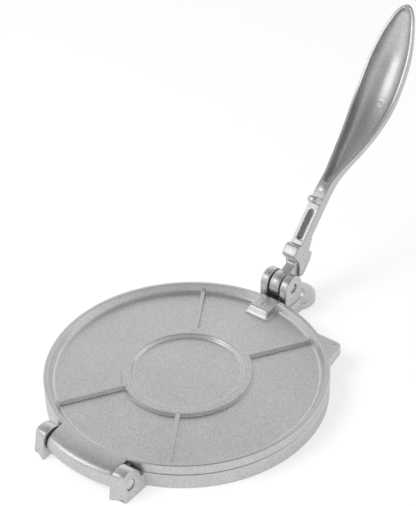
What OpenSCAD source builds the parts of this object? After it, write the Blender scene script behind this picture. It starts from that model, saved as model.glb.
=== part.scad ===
// Hand tortilla press: two die-cast plates hinged on a steel rod, and a
// long lever handle pinned in a clevis at the front of the base.
// Origin: centre of the plates on the table. +Z up, +X from hinge to clevis.

/* [Plates] */
// Radius of both round plates
plate_r = 101.5; // [95:0.5:112]
// Height of the base, table to pressing face
base_h = 12; // [11:0.5:14]
// Thickness of the base's pressing face
base_skin = 3; // [2.5:0.25:4]
// Thickness of the base's side wall
base_wall = 3; // [2.5:0.25:5]
// Gap left between the closed plates
press_gap = 0.2; // [0.1:0.1:1]
// Height of the upper plate over its rim
lid_h = 7.8; // [7.5:0.1:9]
// Thickness of the upper plate's floor
lid_skin = 2; // [1.8:0.1:3]
// Width of the rim's top
rim_w = 3.2; // [2.8:0.1:5]
// How much wider the rim is at the floor, from the draft of its inner wall
rim_draft = 3.6; // [2:0.1:5]
// Radius of the fillet between floor and rim
rim_fillet = 3; // [1:0.25:4]
// Rounding of the plates' outer edges
edge_r = 0.8; // [0.4:0.1:1.2]

/* [Upper plate's stiffening] */
// Outer radius of the ring, at the floor
ring_r = 47.5; // [40:0.5:55]
// Width of the ring's top
ring_top_w = 6.2; // [4:0.1:8]
// Height of ring and ribs above the floor
ring_h = 2.8; // [2:0.1:4]
// Draft of the ring's inner side
ring_draft_in = 2.1; // [1:0.1:3]
// Draft of the ring's outer side
ring_draft_out = 0.8; // [0.4:0.1:2]
// Width of a rib's top
rib_w = 3; // [2:0.1:5]
// Draft of each side of a rib
rib_draft = 0.7; // [0.3:0.1:1.2]
// Angle of the front ribs from the clevis side
rib_front = 31.5; // [20:0.5:45]
// Angle of the rear ribs from the clevis side
rib_rear = 148; // [135:0.5:155]
// Rise of each rib where it meets the rim
rib_gusset = 1; // [0.5:0.1:2.5]

/* [Press block] */
// Length of the block's top, from its front edge to the outside of the rim
block_len = 16.2; // [12:0.2:22]
// Half width of the block's top
block_half_w = 7.9; // [6:0.1:12]
// Draft of the block's front
block_draft = 4.2; // [1:0.1:5]
// Draft of the block's sides
block_side_draft = 1.8; // [0.5:0.1:3]

/* [Lift tab] */
// How far outside the plates the middle of the tab's round end lies
tab_out = 6.3; // [4:0.1:12]
// Angle of the tab below the clevis side
tab_angle = 40.6; // [30:0.1:60]
// Radius of the tab's round end
tab_r = 4.8; // [4:0.1:12]
// Half the angle over which the tab leaves the rim
tab_spread = 9.1; // [7:0.1:14]

/* [Hinge] */
// Distance of the hinge axis outside the plates
hinge_out = 5; // [4.5:0.1:9]
// Height of the hinge axis
hinge_z = 11; // [10.75:0.05:11.5]
// Distance from the middle to an ear's inner face
ear_in = 29.8; // [26:0.1:34]
// Thickness of an ear at the table
ear_t = 11.9; // [9:0.1:14]
// Draft of an ear's outer face, over its whole height
ear_draft = 2.6; // [0:0.1:4]
// Radius of an ear's round top about the hinge axis
ear_r = 10.3; // [9:0.1:10.5]
// Reach of an ear's front past the hinge axis, at the table
ear_reach = 14.7; // [13:0.1:18]
// How far that front leans back over the height of the hinge axis
ear_lean = 1.4; // [1:0.1:4]
// Height of the arm that joins the ear to the base
ear_arm_h = 11; // [9:0.1:12]
// Gap between an ear and the knuckle
ear_gap = 1.1; // [0.5:0.1:2]
// Outer radius of the knuckle about the hinge axis
knuckle_r = 10.5; // [10:0.1:10.7]
// Wall of the knuckle
knuckle_wall = 3; // [2:0.1:3.2]
// Height of the knuckle's lower edge
skirt_z = 6.5; // [6:0.05:8]
// Radius of the knuckle's two bosses
boss_r = 7.2; // [6.5:0.1:7.4]
// Length of each boss
boss_len = 5.2; // [4:0.1:8]

/* [Clevis] */
// Distance of the handle's pivot outside the plates
pivot_out = 12; // [11.5:0.1:16]
// Height of the handle's pivot
pivot_z = 26; // [25:0.1:30]
// Half the gap between the clevis ears
clevis_half_gap = 5.6; // [5.5:0.1:8]
// Thickness of a clevis ear
clevis_t = 6.6; // [5:0.1:9]
// Radius of a clevis ear's round top
clevis_r = 10.1; // [9:0.1:11]

/* [Neck and tongue] */
// Half width of the neck
neck_half_w = 13.4; // [13.2:0.1:16]
// Fillet between the neck and the round base
neck_fillet = 10; // [5:0.5:14]
// Length of the neck past the pivot
neck_past = 10.4; // [10:0.1:14]
// Distance of the tongue's round end past the pivot
tongue_past = 19; // [17:0.1:26]
// Radius of the tongue's round end
tongue_r = 16; // [14:0.1:18]
// Thickness of the tongue
tongue_t = 6; // [4:0.1:8]
// Radius of the hanging hole
hole_r = 7; // [5:0.1:9]
// Distance of the hanging hole past the pivot
hole_past = 20.8; // [19:0.1:25]

/* [Base's underside] */
// Radius of the middle foot
foot_r = 12; // [8:0.5:20]
// Radius of the stiffening ring
under_ring_r = 55; // [40:1:70]
// Thickness of the ring and the ribs
under_rib_t = 2.5; // [2:0.1:4]
// How far ring and ribs stay above the table
under_rib_clear = 1.5; // [1:0.1:3]
// Number of radial ribs
under_ribs = 8; // [6:1:12]

/* [Handle] */
// Angle of the resting handle above the table
lean = 46; // [40:0.5:60]
// Length from the pivot to the tip
handle_len = 235; // [210:1:250]
// Length from the pivot to the start of the hollow
arm_len = 84; // [80:0.5:100]
// Width of the arm
arm_w = 10.8; // [10:0.1:14]
// Thickness of the arm
arm_t = 11; // [9:0.1:13]
// Height of the arm's inner face over the pivot line
arm_face = 3.8; // [2:0.1:4.5]
// Greatest width of the hollow grip
grip_w = 36; // [30:0.5:44]
// Greatest depth of the hollow grip
grip_d = 16; // [13:0.1:20]
// How far the grip's rim bows back from the arm's inner face
grip_bow = 16.6; // [8:0.1:20]
// Wall of the hollow grip
grip_wall = 2.4; // [2:0.1:3.5]
// Radius of the grip's round tip
tip_r = 11.5; // [9:0.1:15]
// Clearance of the handle's barrel on each side in the clevis
barrel_side = 1.3; // [0.4:0.1:1.6]
// Radius of the barrel
barrel_r = 9.6; // [8:0.1:10]
// Length of the heel that rests on the neck, from below the pivot outwards
heel_len = 9; // [6:0.1:10]
// Half width of the root at its back
cam_half_w = 7.4; // [6:0.1:9]
// Half width of the cam's nose
nose_half_w = 6.4; // [5:0.1:7]
// Height of the cam's nose over the pivot line
cam_nose = 8.2; // [6:0.1:8.4]
// Distance from the pivot to the cam's near side
cam_from = 20.6; // [18:0.1:24]
// Length of the cam along the arm
cam_len = 9.6; // [8:0.1:14]
// Bevel on the cam's edges
cam_bevel = 1.5; // [0.5:0.1:2]
// Depth of the arm behind the pivot line at its root
root_d = 14.6; // [12:0.1:16]
// Length of the deep root, from the pivot
root_len = 26; // [20:0.5:34]
// Length over which the root's back runs out into the arm
root_run = 30; // [20:0.5:34]
// Distance from the pivot to the middle of the peg
peg_at = 67.8; // [65:0.1:70]
// Height of the peg over the arm's face
peg_h = 8; // [4:0.1:9]
// Thickness of the peg along the arm
peg_t = 5.4; // [4:0.1:8]
// Distance from the pivot to the pocket's near end
pocket_from = 36; // [34:0.5:44]
// Length of the pocket
pocket_len = 25; // [10:0.5:26]
// Width of the pocket
pocket_w = 4.7; // [3:0.1:6]
// Depth of the pocket
pocket_d = 6; // [3:0.1:8]

/* [Pins] */
// Radius of the hinge rod
rod_r = 4; // [3:0.1:4.5]
// How deep the rod's ends lie in the ears
rod_recess = 0.8; // [0.5:0.1:3]
// Radius of the handle's pin
pin_r = 4; // [3:0.1:4.5]
// How deep the pin's ends lie in the clevis
pin_recess = 1.7; // [0.5:0.1:3]
// Chamfer on the ends of both pins
pin_chamfer = 0.5; // [0.2:0.1:1]
// Running clearance of a pin in the piece that turns on it
run_fit = 0.06; // [0.02:0.01:0.1]

/* [Hidden] */
cast_colour = [0.74, 0.75, 0.76];
steel_colour = [0.86, 0.87, 0.88];
smooth = 120; // facets of a circle where only OpenSCAD's own preview needs them
over = 1;     // how far a cutter runs past the face that it opens
hinge_x = plate_r + hinge_out;
pivot_x = plate_r + pivot_out;
neck_end = pivot_x + neck_past;
tab_reach = plate_r + tab_out;
ear_front = hinge_x + ear_reach;
lid_z = base_h + press_gap;     // underside of the upper plate
floor_z = lid_z + lid_skin;     // its floor
top_z = lid_z + lid_h;          // its rim, tab and block
ear_out = ear_in + ear_t;
knuckle_half = ear_in - ear_gap;
clevis_out = clevis_half_gap + clevis_t;
swing_r = ear_r + 0.7;          // clears the ears as the plate opens
ear_top = hinge_z + ear_r;
rod_half = ear_out - ear_draft * hinge_z / ear_top - rod_recess;
relief_r = knuckle_r + 0.5;     // clears the knuckle's skirt as it turns under the base
barrel_w = 2 * (clevis_half_gap - barrel_side);
heel_drop = pivot_z - base_h - 0.1; // the heel stops on the neck at rest
shy = 0.005;   // arcs stop this short of tangent, so that faces meet at a clear angle
dimple_r = 1.3;
dimple_d = 0.5;

// Turning a flat drawing (x, z) into a slab across Y, from y0 to y1
module across(y0, y1) {
    translate([0, y1, 0]) rotate([90, 0, 0]) linear_extrude(y1 - y0) children();
}

// A copy on each side of the middle plane
module both_sides() {
    children();
    mirror([0, 1, 0]) children();
}

// A round bar along Y, centred on the middle plane
module bar(x, z, r, len) {
    translate([x, len / 2, z]) rotate([90, 0, 0]) cylinder(r = r, h = len, $fn = smooth);
}

// The sliver between a corner and the arc that rounds it. The corner is at p,
// and its two sides leave it along the unit vectors a and b. It runs past the
// corner, so that it joins or cuts cleanly.
module corner_sliver(p, a, b, r) {
    half = acos(a * b) / 2;
    reach = r / tan(half);
    centre = p + (a + b) / norm(a + b) * r / sin(half);
    past = p - (a + b) / norm(a + b) * r / 2;
    difference() {
        polygon([past, p + reach * a, centre, p + reach * b]);
        translate(centre) circle(r + shy, $fn = smooth);
    }
}

// The point where a line from p touches a circle; side is 1 or -1
function touch(p, centre, r, side) =
    let (away = atan2(p[1] - centre[1], p[0] - centre[0]), open = acos(r / norm(p - centre)))
    centre + r * [cos(away + side * open), sin(away + side * open)];

/* ---------- base ---------- */

// Half section of the base's round casting, its outer edges softened
module base_section() {
    difference() {
        polygon([[0, 0], [plate_r, 0], [plate_r, base_h], [0, base_h]]);
        corner_sliver([plate_r, base_h], [-1, 0], [0, -1], edge_r);
        corner_sliver([plate_r, 0], [-1, 0], [0, 1], edge_r);
        translate([0, -over]) square([plate_r - base_wall, base_h - base_skin + over]);
    }
}

// Middle foot, ring and ribs that stiffen the hollow underside
module underside() {
    web = base_h - base_skin / 2;
    cylinder(r = foot_r, h = web, $fn = smooth);
    translate([0, 0, under_rib_clear]) {
        difference() {
            cylinder(r = under_ring_r + under_rib_t / 2, h = web - under_rib_clear, $fn = smooth);
            translate([0, 0, -over])
                cylinder(r = under_ring_r - under_rib_t / 2, h = web + over, $fn = smooth);
        }
        for (i = [0 : under_ribs - 1]) rotate((i + 0.5) * 360 / under_ribs)
            translate([foot_r / 2, -under_rib_t / 2, 0])
                cube([plate_r - base_wall / 2 - foot_r / 2, under_rib_t, web - under_rib_clear]);
    }
}

// Plan of the neck with its fillets into the round base
module neck_plan() {
    centre_y = neck_half_w + neck_fillet;
    centre_x = sqrt(pow(plate_r + neck_fillet, 2) - pow(centre_y, 2));
    share = plate_r / (plate_r + neck_fillet);
    translate([plate_r - base_wall, -neck_half_w])
        square([neck_end - plate_r + base_wall, 2 * neck_half_w]);
    for (side = [-1, 1]) difference() {
        polygon([[centre_x * share - over, 0], [centre_x, 0], [centre_x, side * centre_y],
                 [centre_x * share, side * centre_y * share]]);
        translate([centre_x, side * centre_y]) circle(neck_fillet, $fn = smooth);
    }
}

// Side view of a clevis ear
module clevis_side() {
    translate([pivot_x, pivot_z]) circle(clevis_r, $fn = smooth);
    translate([pivot_x - clevis_r, base_h - over])
        square([2 * clevis_r, pivot_z - base_h + over]);
}

// A hinge ear and the arm that carries it. Its top is round about the hinge
// axis, its front follows the plate's curve and leans back, and its outer face
// is drafted.
module hinge_ear() {
    arm_from = sqrt(pow(plate_r, 2) - pow(ear_out, 2)) - 2;
    high = ear_top + over;
    intersection() {
        across(ear_in, ear_out) {
            translate([-hinge_x, hinge_z]) circle(ear_r, $fn = smooth);
            translate([-ear_front, 0]) square([ear_front - hinge_x + ear_r, hinge_z]);
            translate([-hinge_x, 0]) square([hinge_x - arm_from, ear_arm_h]);
        }
        rotate_extrude($fn = smooth)
            polygon([[0, 0], [ear_front, 0], [ear_front - ear_lean * high / hinge_z, high], [0, high]]);
        translate([-ear_front, 0, 0]) rotate([90, 0, 90]) linear_extrude(ear_front)
            polygon([[0, 0], [ear_out, 0], [ear_out - ear_draft * high / ear_top, high], [0, high]]);
    }
}

module base() {
    color(cast_colour) difference() {
        union() {
            rotate_extrude($fn = smooth) base_section();
            underside();
            linear_extrude(base_h) neck_plan();
            both_sides() across(clevis_half_gap, clevis_out) clevis_side();
            both_sides() hinge_ear();
            // wall that closes the underside behind the knuckle
            intersection() {
                bar(-hinge_x, hinge_z, relief_r + base_wall, 2 * ear_in + 2);
                cylinder(r = plate_r - base_wall / 2, h = base_h - base_skin / 2, $fn = smooth);
            }
        }
        // room for the knuckle's skirt under the pressing face
        intersection() {
            bar(-hinge_x, hinge_z, relief_r, 2 * ear_in);
            translate([-hinge_x - relief_r - over, -ear_in, -over])
                cube([2 * (relief_r + over), 2 * ear_in, base_h - base_skin + over]);
        }
        // hollow under the neck
        translate([plate_r + over / 2, base_wall - neck_half_w, -over])
            cube([neck_end - base_wall - plate_r - over / 2,
                  2 * (neck_half_w - base_wall), base_h - base_skin + over]);
        bar(-hinge_x, hinge_z, rod_r, 2 * (ear_out + over));
        bar(pivot_x, pivot_z, pin_r, 2 * (clevis_out + over));
    }
}

// The tongue that the press hangs from. It is cast with the base, and meets it
// on the plane of the neck's end.
module tongue() {
    color(cast_colour) difference() {
        translate([pivot_x + tongue_past, 0, 0]) cylinder(r = tongue_r, h = tongue_t, $fn = smooth);
        translate([neck_end - 2 * tongue_r, -tongue_r - over, -over])
            cube([2 * tongue_r, 2 * (tongue_r + over), tongue_t + 2 * over]);
        translate([pivot_x + hole_past, 0, -over])
            cylinder(r = hole_r, h = tongue_t + 2 * over, $fn = smooth);
    }
}

/* ---------- upper plate ---------- */

// Half section of the upper plate: floor, drafted rim and stiffening ring
module lid_section() {
    wall = [rim_draft, top_z - floor_z] / norm([rim_draft, top_z - floor_z]);
    foot = [plate_r - rim_w - rim_draft, floor_z];
    difference() {
        polygon([[0, lid_z], [plate_r, lid_z], [plate_r, top_z], [plate_r - rim_w, top_z],
                 foot, [0, floor_z]]);
        corner_sliver([plate_r, top_z], [-1, 0], [0, -1], edge_r);
        corner_sliver([plate_r, lid_z], [-1, 0], [0, 1], edge_r);
    }
    corner_sliver(foot, [-1, 0], wall, rim_fillet);
    ring_in = ring_r - ring_draft_out - ring_top_w;
    polygon([[ring_r, floor_z - lid_skin / 2], [ring_r, floor_z],
             [ring_r - ring_draft_out, floor_z + ring_h], [ring_in, floor_z + ring_h],
             [ring_in - ring_draft_in, floor_z], [ring_in - ring_draft_in, floor_z - lid_skin / 2]]);
}

// One rib from the ring to the rim, drafted, with its gusset up the rim
module rib() {
    start = ring_r - ring_draft_out - ring_top_w / 2;
    reach = plate_r - rim_w - rim_draft / 2;
    rib_top = floor_z + ring_h - 0.1; // a little below the ring's top
    sunk = lid_skin / 2;
    foot_half = rib_w / 2 + rib_draft * (rib_top - floor_z + sunk) / ring_h;
    translate([start, 0, 0]) rotate([90, 0, 90]) linear_extrude(reach - start)
        polygon([[-foot_half, floor_z - sunk], [-rib_w / 2, rib_top], [rib_w / 2, rib_top],
                 [foot_half, floor_z - sunk]]);
    across(0.1 - rib_w / 2, rib_w / 2 - 0.1)
        polygon([[reach - 3 * rib_gusset, rib_top - 0.5], [reach - 2.5 * rib_gusset, rib_top],
                 [reach, rib_top + rib_gusset], [reach + rim_draft / 2, rib_top + rib_gusset],
                 [reach + rim_draft / 2, rib_top - 0.5]]);
}

// Block under the handle's cam, drafted to the front and the sides
module press_block() {
    front = plate_r - block_len;
    foot_z = floor_z - lid_skin / 2;
    slant = (top_z - foot_z) / (top_z - floor_z);
    half = block_half_w + block_side_draft * slant;
    intersection() {
        across(-2 * block_half_w, 2 * block_half_w)
            polygon([[front - block_draft * slant, foot_z], [front, top_z],
                     [plate_r - rim_w / 2, top_z], [plate_r - rim_w / 2, foot_z]]);
        rotate([90, 0, 90]) linear_extrude(plate_r)
            polygon([[-half, foot_z], [-block_half_w, top_z], [block_half_w, top_z], [half, foot_z]]);
    }
}

// Plan of the lift tab: a round end and two sides that touch it
module tab_plan() {
    end = tab_reach * [cos(-tab_angle), sin(-tab_angle)];
    left = (plate_r - edge_r) * [cos(-tab_angle + tab_spread), sin(-tab_angle + tab_spread)];
    right = (plate_r - edge_r) * [cos(-tab_angle - tab_spread), sin(-tab_angle - tab_spread)];
    inner = (plate_r - rim_w) * [cos(-tab_angle), sin(-tab_angle)];
    translate(end) circle(tab_r, $fn = smooth);
    polygon([left, touch(left, end, tab_r - shy, -1), end, touch(right, end, tab_r - shy, 1), right,
             inner]);
}

// Half section of the knuckle about the plate's centre: a slab flush with the
// rim that rolls over into a skirt around the hinge axis
module knuckle_section() {
    slab_z = top_z - knuckle_wall;
    intersection() {
        difference() {
            union() {
                translate([hinge_x, hinge_z]) circle(knuckle_r, $fn = smooth);
                translate([plate_r - rim_w / 2, slab_z])
                    square([hinge_x - plate_r + rim_w / 2, knuckle_wall]);
            }
            translate([hinge_x, hinge_z]) circle(knuckle_r - knuckle_wall, $fn = smooth);
            square([hinge_x, slab_z]);
        }
        translate([0, skirt_z]) square([2 * hinge_x, top_z - skirt_z]);
    }
}

module knuckle() {
    intersection() {
        rotate_extrude($fn = smooth) knuckle_section();
        translate([-2 * hinge_x, -knuckle_half, 0]) cube([2 * hinge_x, 2 * knuckle_half, 2 * top_z]);
    }
    both_sides() translate([-hinge_x, knuckle_half, hinge_z]) rotate([90, 0, 0])
        cylinder(r = boss_r, h = boss_len, $fn = smooth);
}

// Shallow mark left by an ejector
module dimple(at) {
    translate([at[0], at[1], top_z - dimple_d]) cylinder(r = dimple_r, h = dimple_d + over, $fn = 32);
}

module upper_plate() {
    color(cast_colour) difference() {
        union() {
            rotate_extrude($fn = smooth) lid_section();
            for (a = [rib_front, rib_rear, -rib_rear, -rib_front]) rotate(a) rib();
            press_block();
            translate([0, 0, lid_z]) linear_extrude(lid_h) tab_plan();
            knuckle();
        }
        // the rim steps back where it swings past the ears of the base
        both_sides() translate([-hinge_x, ear_out + ear_gap, hinge_z]) rotate([90, 0, 0])
            cylinder(r = swing_r, h = ear_t + 2 * ear_gap, $fn = smooth);
        bar(-hinge_x, hinge_z, rod_r + run_fit, 2 * (knuckle_half + over));
        dimple([plate_r - 0.65 * block_len, 0]);
        dimple(tab_reach * [cos(-tab_angle), sin(-tab_angle)]);
    }
}

/* ---------- handle ---------- */
// The handle is drawn with its arm along +X from the pivot and its hollow
// side up, then leant back to its resting place.

// Laws of the grip along its length: [share of the grip's length, value]
width_law = [[0, 0], [0.22, 0.47], [0.344, 0.75], [0.457, 0.94], [0.583, 1],
             [0.722, 0.93], [0.834, 0.7], [1, 0.2]];
bow_law = [[-0.09, 0], [-0.013, 0.05], [0.086, 0.29], [0.185, 0.59], [0.305, 0.88],
           [0.437, 1], [0.556, 0.95], [0.722, 0.68], [1, 0.23]];
depth_law = [[0.13, 0.03], [0.265, 0.39], [0.397, 0.77], [0.543, 0.93], [0.735, 1], [1, 1]];
nose_law = [[0.7, 1], [0.868, 0.76], [0.96, 0.42], [1, 0.15]];

// A smooth curve through the points of a law, level beyond its ends
function span(t, q, i = 0) = (i > len(t) - 3 || q < t[i + 1][0]) ? i : span(t, q, i + 1);
function slope(t, i) = (i == 0 || i == len(t) - 1) ? 0
    : (t[i + 1][1] - t[i - 1][1]) / (t[i + 1][0] - t[i - 1][0]);
function law(t, q) = q <= t[0][0] ? t[0][1] : q >= t[len(t) - 1][0] ? t[len(t) - 1][1]
    : let (i = span(t, q), w = t[i + 1][0] - t[i][0], s = (q - t[i][0]) / w)
      t[i][1] * (2 * s * s * s - 3 * s * s + 1) + slope(t, i) * w * (s * s * s - 2 * s * s + s)
      + t[i + 1][1] * (3 * s * s - 2 * s * s * s) + slope(t, i + 1) * w * (s * s * s - s * s);

// Quarter-round rise from 0 to 1 over the first run of a length
function round_start(d, run) = d <= 0 ? 0 : d >= run ? 1 : sqrt(1 - pow(1 - d / run, 2));

grip_len = handle_len - arm_len;
trough_run = 1.1 * arm_t; // length over which the hollow's floor drops from the arm
function share(u) = (u - arm_len) / grip_len;
function rim_at(u) = arm_face - grip_bow * law(bow_law, share(u));
function depth_at(u) =
    (arm_t + (grip_d - arm_t) * law(depth_law, share(u))) * law(nose_law, share(u));
function half_at(u) = (arm_w + (grip_w - arm_w) * law(width_law, share(u))) / 2
    * round_start(handle_len - u, tip_r);
function hollow_half(u) = max(0.3 * half_at(u), (half_at(u + grip_wall / 2) - grip_wall)
    * round_start(u - arm_len, arm_w / 2) * round_start(handle_len - grip_wall - u, tip_r));
function hollow_depth(u) = max(0.3, (depth_at(u) - grip_wall) * round_start(u - arm_len, trough_run)
    * round_start(handle_len - grip_wall - u, tip_r / 2));
function squareness(u) = 5 - 2.7 * round_start(u - arm_len, grip_len / 2);

// Half of a rounded box section, from the rim on one side to the other
function bowl(u, half, deep, steps, way) = let (e = 2 / squareness(u))
    [for (i = [0 : steps]) let (a = way > 0 ? 180 * i / steps : 180 - 180 * i / steps)
        [u, half * sign(cos(a)) * pow(abs(cos(a)), e), rim_at(u) - deep * pow(sin(a), e)]];

ring_steps = 14; // steps round the outside of a section, and round its hollow
body_steps = 17; // stations along the grip's body
tip_steps = 8;   // stations round its tip
grip_start = arm_len + 0.4;
stations = concat(
    [for (i = [0 : 3]) grip_start + (trough_run - 0.4) * i * i / 16],
    [for (i = [0 : body_steps]) arm_len + trough_run + (grip_len - trough_run - tip_r) * i / (body_steps + 1)],
    [for (i = [0 : tip_steps]) handle_len - tip_r + tip_r * sin(80 * i / tip_steps)]);

// The hollow grip as one skin: each section runs round the outside and back
// round the hollow
module grip() {
    n = 2 * ring_steps + 2;
    points = [for (u = stations) each concat(
        bowl(u, half_at(u), depth_at(u), ring_steps, 1),
        bowl(u, hollow_half(u), hollow_depth(u), ring_steps, -1))];
    faces = [for (k = [0 : len(stations) - 2]) for (i = [0 : n - 1]) let (j = (i + 1) % n)
        each [[k * n + i, (k + 1) * n + j, (k + 1) * n + i], [k * n + i, k * n + j, (k + 1) * n + j]]];
    end = (len(stations) - 1) * n;
    caps = [for (i = [0 : ring_steps - 1])
        each [[i + 1, i, n - 1 - i, n - 2 - i], [end + i, end + i + 1, end + n - 2 - i, end + n - 1 - i]]];
    polyhedron(points, concat(faces, caps), convexity = 6);
}

// Side view of the solid arm, which bends as the grip's rim does
module arm_side() {
    from = root_len + root_run / 3;
    bend_steps = 12;
    us = [for (i = [0 : bend_steps]) from + (grip_start - from) * i / bend_steps];
    polygon(concat([for (u = us) [u, rim_at(u)]],
                   [for (i = [bend_steps : -1 : 0]) [us[i], rim_at(us[i]) - depth_at(us[i])]]));
}

// Side view of the root: shoulder, deep back and the arm's first stretch
module root_side() {
    heel = [heel_len * cos(lean) - heel_drop * sin(lean),
            -heel_len * sin(lean) - heel_drop * cos(lean)];
    back = arm_face - arm_t;
    polygon([[0, 0], heel, [root_len / 4, -root_d], [root_len, -root_d],
             [root_len + root_run / 2, back - root_d / 9], [root_len + root_run, back],
             [root_len + root_run, arm_face], [cam_from - 1, arm_face],
             [cam_from - 2, -arm_face / 2], [barrel_r, 0], [0, barrel_r / 2]]);
}

// Side view of the broad part that carries the cam
module cam_side() {
    far = cam_from + cam_len;
    polygon([[root_len / 2, -root_d], [root_len, -root_d], [far + cam_bevel, cam_bevel - root_d],
             [far + cam_bevel, arm_face], [far, cam_nose - cam_bevel], [far - cam_bevel, cam_nose],
             [cam_from + cam_bevel, cam_nose], [cam_from, cam_nose - cam_bevel],
             [cam_from - cam_bevel, -arm_face / 2], [0.55 * root_len, -0.55 * root_d]]);
}

// Arm, root, cam, heel and peg, which carry the grip
module handle_root() {
    half = barrel_w / 2;
    difference() {
        union() {
            across(-arm_w / 2, arm_w / 2) arm_side();
            bar(0, 0, barrel_r, barrel_w);
            across(-half, half) root_side();
            // heel that stops the handle on the neck
            rotate([0, lean, 0]) translate([0, -half, -heel_drop])
                cube([heel_len, barrel_w, heel_drop]);
            difference() {
                intersection() {
                    across(-cam_half_w, cam_half_w) cam_side();
                    rotate([90, 0, 90]) linear_extrude(2 * root_len)
                        polygon([[-cam_half_w, -root_d], [cam_half_w, -root_d],
                                 [nose_half_w, cam_nose], [-nose_half_w, cam_nose]]);
                }
                both_sides() translate([0, cam_half_w + over, 0]) rotate([90, 0, 0])
                    cylinder(r = clevis_r + 1, h = cam_half_w + over - half, $fn = smooth);
            }
            // peg on the arm's face, rounded across
            intersection() {
                translate([peg_at - peg_t / 2, -arm_w / 2, arm_face - 1]) cube([peg_t, arm_w, peg_h + 1]);
                translate([peg_at - peg_t, 0, arm_face + peg_h - 0.8 * arm_w]) rotate([0, 90, 0])
                    cylinder(r = 0.8 * arm_w, h = 2 * peg_t, $fn = smooth);
            }
            translate([arm_len - arm_w / 2, 0, rim_at(arm_len - arm_w / 2) - 1])
                cylinder(r = 0.28 * arm_w, h = 1.6, $fn = 48);
        }
        // pocket in the arm's face
        translate([pocket_from + pocket_w / 2, 0, arm_face - pocket_d]) {
            cylinder(r = pocket_w / 2, h = pocket_d + over, $fn = 48);
            translate([0, -pocket_w / 2, 0]) cube([pocket_len - pocket_w, pocket_w, pocket_d + over]);
            translate([pocket_len - pocket_w, 0, 0]) cylinder(r = pocket_w / 2, h = pocket_d + over, $fn = 48);
        }
        bar(0, 0, pin_r + run_fit, barrel_w + 2 * over);
    }
}

module handle() {
    color(cast_colour) translate([pivot_x, 0, pivot_z]) rotate([0, -lean, 0]) {
        grip();
        handle_root();
    }
}

/* ---------- pins ---------- */

// A plain steel pin along Y with both ends chamfered
module pin(r, len) {
    rotate([90, 0, 0]) rotate_extrude($fn = smooth)
        polygon([[0, -len / 2], [r - pin_chamfer, -len / 2], [r, pin_chamfer - len / 2],
                 [r, len / 2 - pin_chamfer], [r - pin_chamfer, len / 2], [0, len / 2]]);
}

module hinge_rod() {
    color(steel_colour) translate([-hinge_x, 0, hinge_z]) pin(rod_r, 2 * rod_half);
}

module handle_pin() {
    color(steel_colour) translate([pivot_x, 0, pivot_z]) pin(pin_r, 2 * (clevis_out - pin_recess));
}

base();
tongue();
upper_plate();
handle();
hinge_rod();
handle_pin();
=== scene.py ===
import math

import bmesh
import bpy
import numpy as np
from mathutils import Matrix, Vector


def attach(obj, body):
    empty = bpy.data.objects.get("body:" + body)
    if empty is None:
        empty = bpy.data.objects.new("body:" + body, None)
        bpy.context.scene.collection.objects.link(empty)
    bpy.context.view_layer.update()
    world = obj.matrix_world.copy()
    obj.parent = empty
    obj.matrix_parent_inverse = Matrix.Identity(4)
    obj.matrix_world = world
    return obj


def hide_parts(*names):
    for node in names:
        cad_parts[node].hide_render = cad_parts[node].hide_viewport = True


# Hand tortilla press in cast aluminium. All sizes in the dictionaries are millimetres
# and degrees; every mesh is written in metres, in the frame of the CAD model.
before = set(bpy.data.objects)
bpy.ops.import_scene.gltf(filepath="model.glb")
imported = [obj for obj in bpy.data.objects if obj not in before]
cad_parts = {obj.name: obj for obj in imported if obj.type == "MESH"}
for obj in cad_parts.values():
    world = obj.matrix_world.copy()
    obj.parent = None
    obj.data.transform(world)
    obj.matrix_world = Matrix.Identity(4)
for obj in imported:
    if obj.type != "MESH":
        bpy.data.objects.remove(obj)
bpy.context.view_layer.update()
millimetre = 0.001


# Shared tools

def skinMesh(name, points, wrapRows=False, capFirst=False, capLast=False):
    # Joins a grid of points (rows, columns, 3) into quads. Columns always run round and
    # close; rows close on themselves with wrapRows, or end in one flat face each.
    rows, cols = points.shape[:2]
    index = np.arange(rows * cols).reshape(rows, cols)
    lower = index if wrapRows else index[:-1]
    upper = np.roll(index, -1, axis=0) if wrapRows else index[1:]
    quads = np.stack([lower, np.roll(lower, -1, axis=1), np.roll(upper, -1, axis=1), upper], axis=-1)
    faces = quads.reshape(-1, 4).tolist()
    if capFirst:
        faces.append(index[0].tolist())
    if capLast:
        faces.append(index[-1].tolist())
    mesh = bpy.data.meshes.new(name)
    mesh.from_pydata((points.reshape(-1, 3) * millimetre).tolist(), [], faces)
    shape = bmesh.new()
    shape.from_mesh(mesh)
    bmesh.ops.remove_doubles(shape, verts=shape.verts, dist=2e-6)
    bmesh.ops.recalc_face_normals(shape, faces=shape.faces)
    shape.to_mesh(mesh)
    shape.free()
    mesh.polygons.foreach_set("use_smooth", np.ones(len(mesh.polygons), dtype=bool))
    piece = bpy.data.objects.new(name, mesh)
    bpy.context.scene.collection.objects.link(piece)
    return piece


def sharpenEdges(piece, angle):
    # Edges that turn more than the angle stay crisp in the shading
    piece.data.set_sharp_from_angle(angle=math.radians(angle))


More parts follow.
